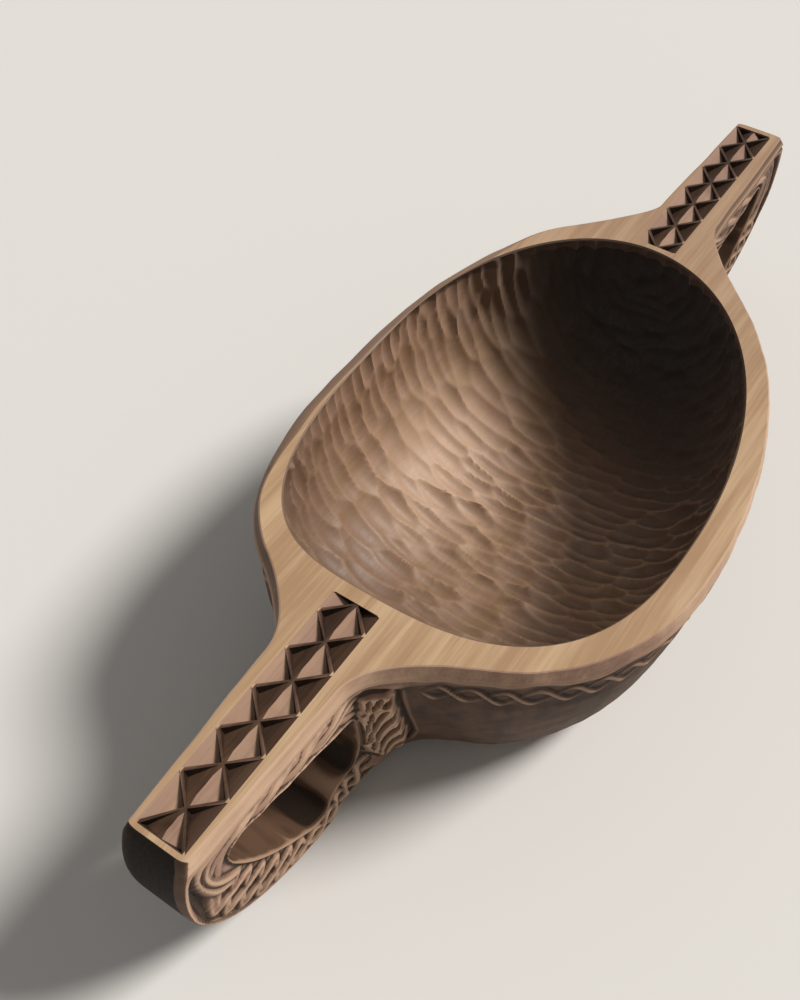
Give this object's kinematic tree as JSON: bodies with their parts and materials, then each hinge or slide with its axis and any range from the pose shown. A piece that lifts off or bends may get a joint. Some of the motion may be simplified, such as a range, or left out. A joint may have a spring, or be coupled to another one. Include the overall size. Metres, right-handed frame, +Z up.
{
  "type": "carved wooden drinking bowl",
  "caption": "Low oval drinking bowl carved from solid wood, with a slotted handle at each end and chip carving along the handle tops.",
  "frame": {"origin": "on the table surface, under the line of the two handles, midway between their ends", "axes": "+X along the handles from the near one to the far one, +Y to the left of it, +Z up"},
  "size_m": [0.413, 0.1617, 0.085],
  "materials": {
    "carved_wood": "sanded and oiled on the flat top, dark stained and satin on the carved sides and in the hollow"
  },
  "bodies": {
    "root": {"vessel": "carved_wood"}
  },
  "joints": []
}
